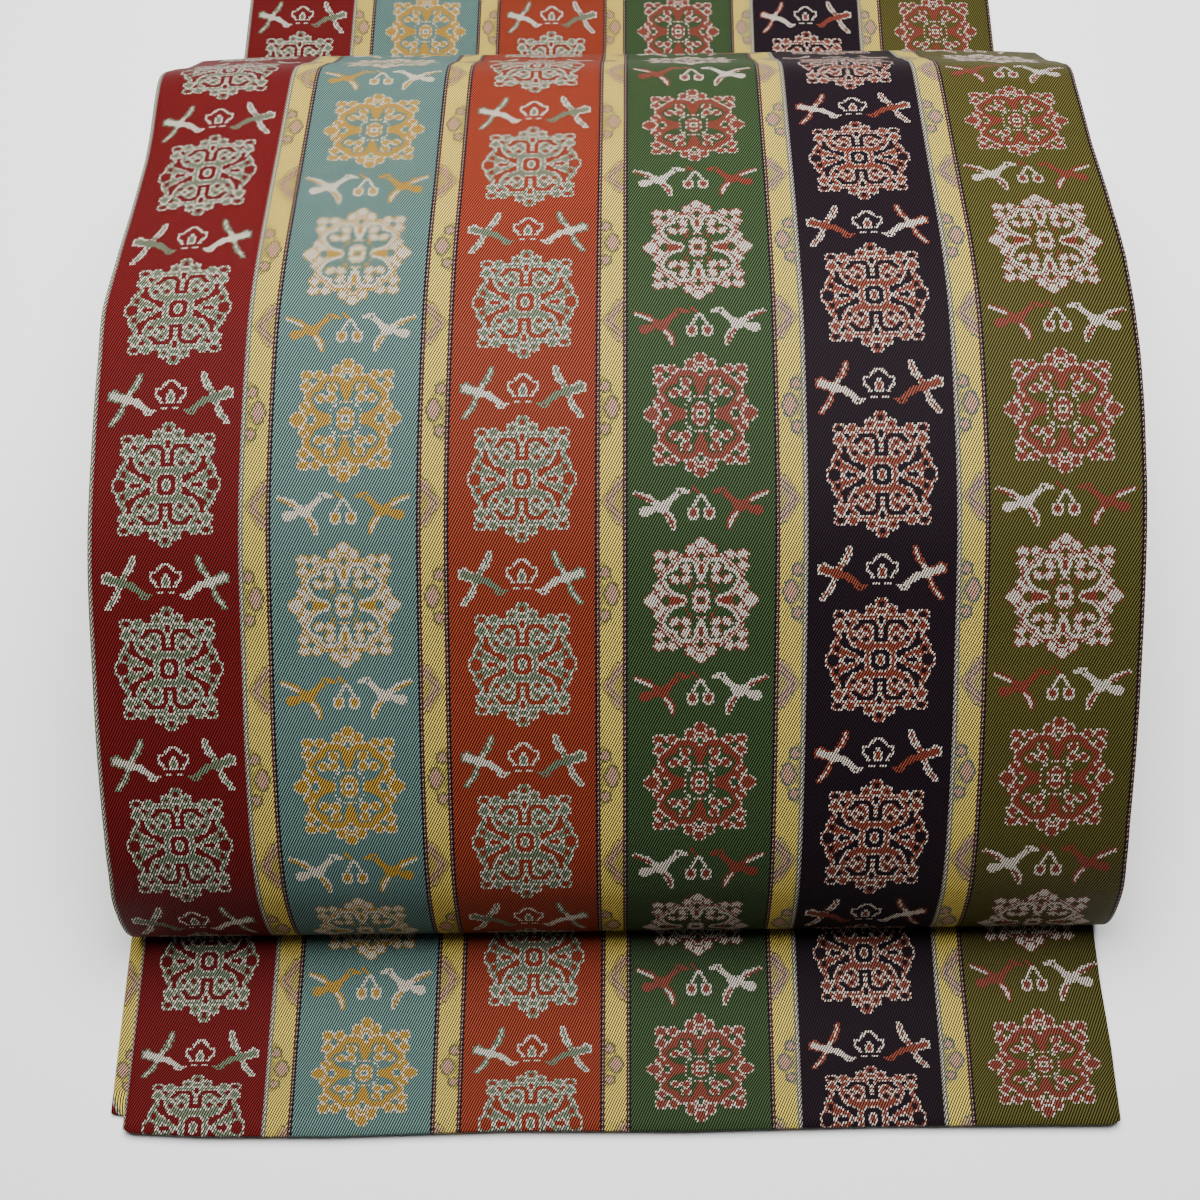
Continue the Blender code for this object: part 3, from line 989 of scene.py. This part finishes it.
class SASH_OT_near_end_back(bpy.types.Operator):
    """The back cloth under the near end, slipped a little to the left"""

    bl_idname = "sash.near_end_back"
    bl_label = "Near end, back cloth"

    def execute(self, context):
        left = -CLOTH_WIDTH / 2 - BACK_CLOTH_SHOWS
        reach = CREASE_AT - 0.3

        def point(s, t):
            x = left + s * CLOTH_WIDTH
            short = BACK_CLOTH_SHORT + 1.0 * max(0.0, 1.0 - s * 60.0)
            return placed(x, short + (reach - short) * t, SINGLE_CLOTH)

        def cloth_uv(s, t):
            x = left + s * CLOTH_WIDTH
            along = BACK_CLOTH_SHORT + (reach - BACK_CLOTH_SHORT) * t
            turned = max(0.0, 1.0 - (along - BACK_CLOTH_SHORT) / 7.0)
            return band_place(x) - 0.02 - 0.085 * turned, table_value(REPEAT_TABLE, along)

        obj = cloth_grid("near_end_back", 120, 24, point, cloth_uv)
        make_cloth(obj, SINGLE_CLOTH, rounding=0.5)
        sheet_piece(obj, ["near_end_back_cloth"])
        return {"FINISHED"}


class SASH_OT_hump(bpy.types.Operator):
    """The sash over the padded hump, from the crease to the foot at the back"""

    bl_idname = "sash.hump"
    bl_label = "Hump"

    def execute(self, context):
        rows, length = hump_line()
        total = float(length[-1])

        def at(t):
            return [float(np.interp(t * total, length, rows[:, i])) for i in range(4)]

        def point(s, t):
            x = (s - 0.5) * CLOTH_WIDTH
            along, height, left, right = at(t)
            ease = math.sin(math.pi * min(1.0, t * 6.0) / 2) * min(1.0, (1.0 - t) * 8.0)
            height = height - edge_drop(x, left, right) + ripple(x, along, 0.5) * ease
            return placed(x + edge_spread(x, along), along, height)

        def cloth_uv(s, t):
            x = (s - 0.5) * CLOTH_WIDTH
            cloth = CLOTH_TO_CREASE + t * total
            over_crown = math.exp(-(((cloth - 320.0) / 75.0) ** 2))
            bow = WEFT_BOW * over_crown * (band_place(x) - 3.2)
            return band_place(x), table_value(REPEAT_TABLE, cloth) - bow

        obj = cloth_grid("hump_cloth", 88, 190, point, cloth_uv)
        make_cloth(obj, SASH_WALL)
        sheet_piece(obj, ["hump_front_stretch", "hump_back_stretch"])
        return {"FINISHED"}


class SASH_OT_far_run(bpy.types.Operator):
    """The last stretch, flat on the floor behind the hump"""

    bl_idname = "sash.far_run"
    bl_label = "Far run"

    def execute(self, context):
        def point(s, t):
            x = (s - 0.5) * CLOTH_WIDTH
            along = FAR_RUN_STARTS + (LAID_LENGTH - FAR_RUN_STARTS) * t
            height = SASH_WALL + 0.1 * math.sin(along / 19.0 + x / 40.0) ** 2
            return placed(x - FAR_RUN_ASIDE, along, height)

        def cloth_uv(s, t):
            x = (s - 0.5) * CLOTH_WIDTH
            along = (LAID_LENGTH - FAR_RUN_STARTS) * t + WEFT_SLANT * x  # square to the room
            return band_place(x), (along - FAR_RUN_PHASE) / REPEAT_LENGTH + 12.0

        obj = cloth_grid("far_run_cloth", 88, 44, point, cloth_uv)
        make_cloth(obj, SASH_WALL)
        sheet_piece(obj, ["far_run"])
        return {"FINISHED"}


# ---------------------------------------------------------------------------------------
# The length folded away inside the hump
# ---------------------------------------------------------------------------------------


WALL_AND_ROOM = 3.2  # from the hump's outer face to the space inside it
FOLDED_STARTS = 396.5  # where the folded length comes in at the back foot
FIRST_LAYER_TO = 392.0
LAST_LAYER_FROM = 79.0
FRONT_FOLD_CLEAR = 7.4  # from the inside of the front wall to a fold
BACK_FOLD_CLEAR = 5.6
FOLDS_BETWEEN = (74.0, 386.5)  # no fold turns nearer to the hump's feet
OVER_FAR_RUN = 2.95
SAG_BETWEEN = (104.0, 355.0)  # where layers sag, and over how far that comes in and goes out
SAG_EASES = (22.0, 30.0)
SAG_CLEAR = 0.7


def inner_profile():
    """Top of the space inside the hump: (along, height) under the cloth."""
    rows, _ = hump_line()
    keep = []
    for before, row, after in zip(rows, rows[1:], rows[2:]):
        if row[0] < 100.0 and row[1] < ROLL_HEIGHT:
            continue
        run, rise = after[0] - before[0], after[1] - before[1]
        size = math.hypot(run, rise)
        keep.append((
            row[0] + WALL_AND_ROOM * rise / size,
            row[1] - WALL_AND_ROOM * run / size,
        ))
    keep.sort()
    return np.array(keep)


def wall_inside(inner, height, front):
    """How far along the inside of the front or back wall stands at a height."""
    crown = int(np.argmax(inner[:, 1]))
    side = inner[:crown + 1] if front else inner[crown:][::-1]
    return float(np.interp(height, side[:, 1], side[:, 0]))


def folded_path():
    """The folded length as one line in (along, height), from the back foot to the far run."""
    inner = inner_profile()
    half = SASH_WALL / 2
    lowest = half + 0.1

    def height_of(layer, along):
        top = float(np.interp(along, inner[:, 0], inner[:, 1])) - half - 0.3
        share = (layer - 1) / (FOLDED_LAYERS - 1)
        over_far_run = lowest + OVER_FAR_RUN if layer > 1.9 and along > FAR_RUN_STARTS - 6.0 else 0.0
        return max(over_far_run, lowest + max(0.0, top - lowest) * share)

    def fold_place(layer, front):
        sway = 1.4 * math.sin(layer * 2.3 + (1.0 if front else 0.0))
        guess = 90.0 if front else 370.0
        for _ in range(12):
            wall = wall_inside(inner, height_of(layer, guess), front)
            if front:
                guess = wall + (FRONT_FOLD_CLEAR + sway + max(0.0, 4.0 - layer))
            else:
                guess = wall + (-BACK_FOLD_CLEAR + sway)
        return max(guess, FOLDS_BETWEEN[0]) if front else min(guess, FOLDS_BETWEEN[1])

    path = [(FOLDED_STARTS, lowest + 2.9)]
    for layer in range(2, FOLDED_LAYERS + 1):
        forwards = layer % 2 == 0
        near = fold_place(layer + 0.5 if forwards else layer - 0.5, True)
        far = fold_place(layer - 0.5 if forwards else layer + 0.5, False)
        if layer == 2:
            far = FIRST_LAYER_TO
        if layer == FOLDED_LAYERS:
            near = wall_inside(inner, height_of(layer, 100.0) - 6.0, True) + half + 0.4
            near = max(near, LAST_LAYER_FROM)
        alongs = list(np.arange(near, far - 2.5, 5.0)) + [far]
        if forwards:
            alongs = alongs[::-1]
        path += [(along, height_of(layer, along)) for along in alongs]
        if layer < FOLDED_LAYERS:
            end, start = alongs[-1], path[-1]
            after = height_of(layer + 1, end)
            radius = (after - start[1]) / 2
            out = -1.0 if forwards else 1.0
            for step in range(1, 6):
                turn = math.pi * step / 6
                along = end + out * radius * 1.25 * math.sin(turn)
                path.append((along, height_of(layer + (1 - math.cos(turn)) / 2, along)))
    down = np.arange(path[-1][1] - 3.0, 7.0, -4.0)
    path += [(wall_inside(inner, height, True) + half + 0.5, height) for height in down]
    foot = wall_inside(inner, ROLL_HEIGHT, True) + half + 2.5
    path += [(foot + 0.4, 5.4), (foot + 1.4, 3.2), (foot + 3.4, 1.8), (foot + 6.5, lowest)]
    path += [(along, lowest) for along in np.arange(foot + 11.0, FAR_RUN_STARTS - 2.0, 5.0)]
    path.append((FAR_RUN_STARTS - 0.3, lowest))
    return np.array(path)


def layer_sag(x, along, height, top):
    """How far a layer sags across its width.

    Odd layers sag the other way, so each layer nears one neighbour midway across, and the
    other neighbour to both sides.
    """
    apart = (top - SASH_WALL) / (FOLDED_LAYERS - 1)
    layer = (height - SASH_WALL / 2) / max(apart, 0.1)  # counted up from the lowest one
    room = max(0.0, apart - SASH_WALL - SAG_CLEAR) / 2
    first, last = SAG_BETWEEN
    inside = min(
        1.0,
        max(0.0, along - first) / SAG_EASES[0],
        max(0.0, last - along) / SAG_EASES[1],
    )
    across = math.cos(3 * math.pi * x / CLOTH_WIDTH)
    sag = -room * inside * across * min(1.0, layer) * math.cos(math.pi * layer)
    return max(0.0, sag) if layer > FOLDED_LAYERS - 1.5 else sag  # the top one can't rise


class SASH_OT_folded_inside(bpy.types.Operator):
    """The rest of the sash, folded to and fro inside the hump"""

    bl_idname = "sash.folded_inside"
    bl_label = "Folded length"

    def execute(self, context):
        path = folded_path()
        steps = np.hypot(*np.diff(path, axis=0).T)
        length = np.concatenate(([0.0], np.cumsum(steps)))
        total = float(length[-1])
        rows, _ = hump_line()
        half_width = CLOTH_WIDTH / 2 - 1.6
        inner = inner_profile()

        def point(s, t):
            reach = t * total
            along = float(np.interp(reach, length, path[:, 0]))
            height = float(np.interp(reach, length, path[:, 1]))
            sway = 1.1 * math.sin(reach / 210.0 + 1.3) + 0.5 * math.sin(reach / 47.0)
            x = (s - 0.5) * 2 * half_width
            edge = abs(s - 0.5) * 2
            x += sway * edge**4 * (1.0 if abs(sway) < 1.0 else 1.0 / abs(sway))
            top = float(np.interp(along, inner[:, 0], inner[:, 1]))
            left = float(np.interp(along, rows[:, 0], rows[:, 2]))
            right = float(np.interp(along, rows[:, 0], rows[:, 3]))
            drop = edge_drop(x, left, right) * min(1.0, height / max(top, 1.0))
            drop += layer_sag(x, along, height, top)
            return placed(x, along, max(SASH_WALL / 2 + 0.1, height - drop))

        def cloth_uv(s, t):
            x = (s - 0.5) * CLOTH_WIDTH
            return band_place(x), t * total / REPEAT_LENGTH

        obj = cloth_grid("folded_inside", 16, len(path) * 2, point, cloth_uv)
        make_cloth(obj, SASH_WALL, outwards=0.0)
        sheet_piece(obj, ["folded_length"])
        print("folded length, m:", round(total * MM, 3))
        return {"FINISHED"}


# ---------------------------------------------------------------------------------------
# Stage
# ---------------------------------------------------------------------------------------

CAMERA_LENS = 48.0
CAMERA_PITCH = 67.57
CAMERA_PLACE = (3.3, -36.2, 524.4)  # across, along from the near end, over the near end
CAMERA_SHIFT = -0.0245


class SASH_OT_stage(bpy.types.Operator):
    """Camera, pale floor and soft lights"""

    bl_idname = "sash.stage"
    bl_label = "Stage"

    def execute(self, context):
        settings = context.scene.sash_stage
        deselect_all()
        bpy.ops.mesh.primitive_plane_add(size=6.0, location=(0.0, 0.0, -0.0004))
        floor = context.active_object
        floor.name = "floor"
        bpy.ops.object.transform_apply(location=True, rotation=False, scale=False)
        material = bpy.data.materials.new("floor")
        material.use_nodes = True
        shader = material.node_tree.nodes["Principled BSDF"]
        shader.inputs["Base Color"].default_value = (*settings.floor, 1.0)
        shader.inputs["Roughness"].default_value = 0.9
        shader.inputs["Specular IOR Level"].default_value = 0.1
        floor.data.materials.append(material)

        self.light("overhead light", (0.0, 0.16, 0.76), (0.0, 0.0, 0.0), 0.7, settings.overhead)
        self.light("wide light", (0.0, 0.5, 1.6), (0.0, 0.0, 0.0), 1.6, settings.wide)
        world = bpy.data.worlds.new("studio")
        world.use_nodes = True
        world.node_tree.nodes["Background"].inputs[0].default_value = (1.0, 1.0, 1.0, 1.0)
        world.node_tree.nodes["Background"].inputs[1].default_value = settings.ambient
        context.scene.world = world

        x, along, height = CAMERA_PLACE
        bpy.ops.object.camera_add(
            location=((x + FRAME_X) * MM, (along + FRAME_Y) * MM, (height + TAIL_HEIGHT) * MM),
            rotation=(math.radians(90.0 - CAMERA_PITCH), 0.0, 0.0),
        )
        camera = context.active_object
        camera.name = "photo camera"
        camera.data.lens = CAMERA_LENS
        camera.data.sensor_width = 36.0
        camera.data.shift_x = CAMERA_SHIFT
        camera.data.clip_start = 0.01
        context.scene.camera = camera
        return {"FINISHED"}

    def light(self, name, place, target, size, power):
        bpy.ops.object.light_add(type="AREA", location=place)
        light = bpy.context.active_object
        light.name = name
        light.data.shape = "DISK"
        light.data.size = size
        light.data.energy = power
        aim = Vector(target) - Vector(place)
        light.rotation_euler = aim.to_track_quat("-Z", "Y").to_euler()


# ---------------------------------------------------------------------------------------
# Add-on
# ---------------------------------------------------------------------------------------

STEPS = ("stage", "near_end_front", "near_end_back", "folded_inside", "hump", "far_run")


class SASH_PT_panel(bpy.types.Panel):
    """Lists the pieces of the sash"""

    bl_label = "Obi sash"
    bl_idname = "SASH_PT_panel"
    bl_space_type = "VIEW_3D"
    bl_region_type = "UI"
    bl_category = "Obi sash"

    def draw(self, context):
        for step in STEPS:
            self.layout.operator("sash." + step)
        for group in ("sash_colours", "sash_weave", "sash_stage"):
            settings = getattr(context.scene, group)
            box = self.layout.box()
            for name in settings.__annotations__:
                box.prop(settings, name)


CLASSES = (
    SashColours,
    SashWeave,
    SashStage,
    SASH_OT_stage,
    SASH_OT_near_end_front,
    SASH_OT_near_end_back,
    SASH_OT_folded_inside,
    SASH_OT_hump,
    SASH_OT_far_run,
    SASH_PT_panel,
)


def register():
    for cls in CLASSES:
        bpy.utils.register_class(cls)
    bpy.types.Scene.sash_colours = bpy.props.PointerProperty(type=SashColours)
    bpy.types.Scene.sash_weave = bpy.props.PointerProperty(type=SashWeave)
    bpy.types.Scene.sash_stage = bpy.props.PointerProperty(type=SashStage)


def unregister():
    del bpy.types.Scene.sash_stage
    del bpy.types.Scene.sash_weave
    del bpy.types.Scene.sash_colours
    for cls in reversed(CLASSES):
        bpy.utils.unregister_class(cls)


def main():
    register()
    for step in STEPS:
        getattr(bpy.ops.sash, step)()


if __name__ == "__main__":
    main()
